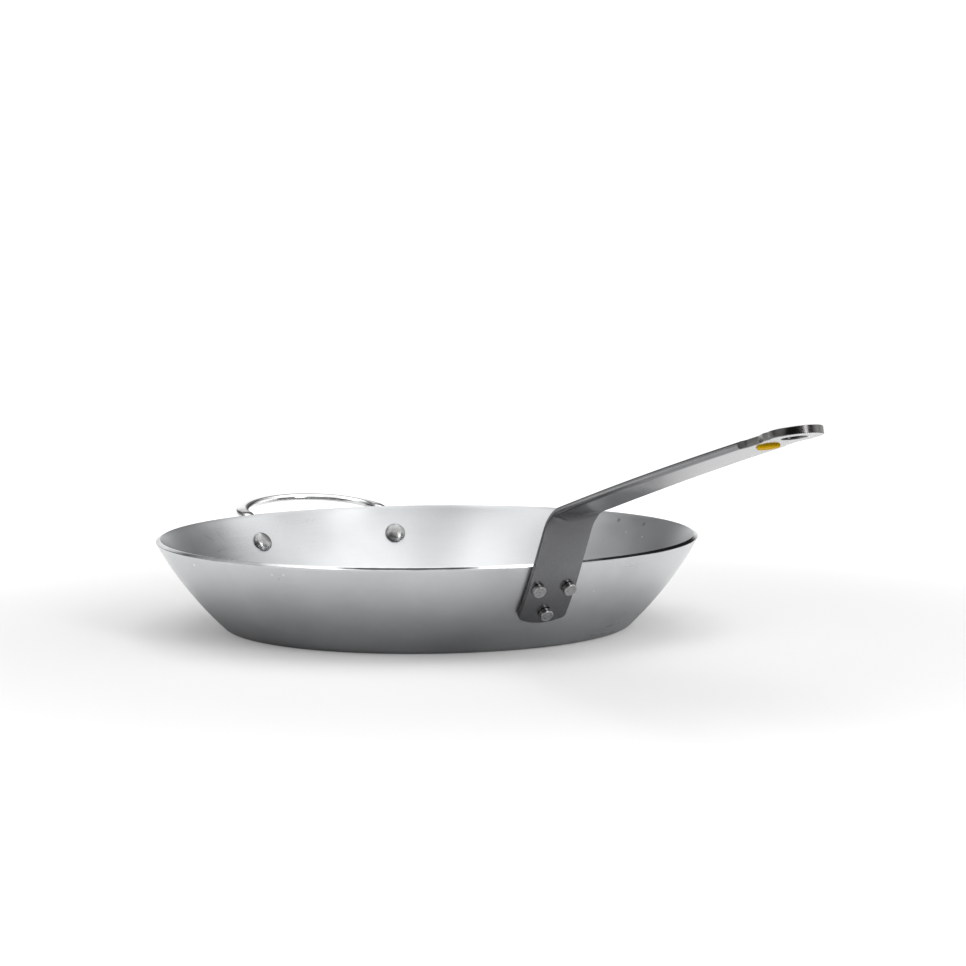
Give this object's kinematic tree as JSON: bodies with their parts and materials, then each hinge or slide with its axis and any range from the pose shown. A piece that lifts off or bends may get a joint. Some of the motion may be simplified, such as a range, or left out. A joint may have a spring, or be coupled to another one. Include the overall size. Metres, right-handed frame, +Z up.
{
  "type": "riveted frying pan",
  "caption": "Carbon-steel frying pan with flared sides, a long riveted strip handle with a hanging hole and a steel helper loop.",
  "frame": {"origin": "centre of the flat underside of the base, on the pan's axis", "axes": "+Z up along the pan's axis, +X along the long handle, -X towards the helper handle"},
  "size_m": [0.6247, 0.32, 0.1482],
  "materials": {
    "carbon_steel": "satin bare carbon steel with fine spun lines",
    "dark_strip_steel": "semi-matte blackened strip steel with fine mottling",
    "polished_steel": "mirror polished stainless rod",
    "rivet_steel": "satin rivet steel with a faint tool ring on each end",
    "yellow_disc": "glossy yellow domed button, plain"
  },
  "bodies": {
    "root": {"pan_body": "carbon_steel", "long_handle": "dark_strip_steel", "handle_medallion": "yellow_disc", "handle_rivet_left": "rivet_steel", "handle_rivet_right": "rivet_steel", "handle_rivet_lower": "rivet_steel", "helper_handle": "polished_steel", "helper_rivet_left": "rivet_steel", "helper_rivet_right": "rivet_steel"}
  },
  "joints": []
}
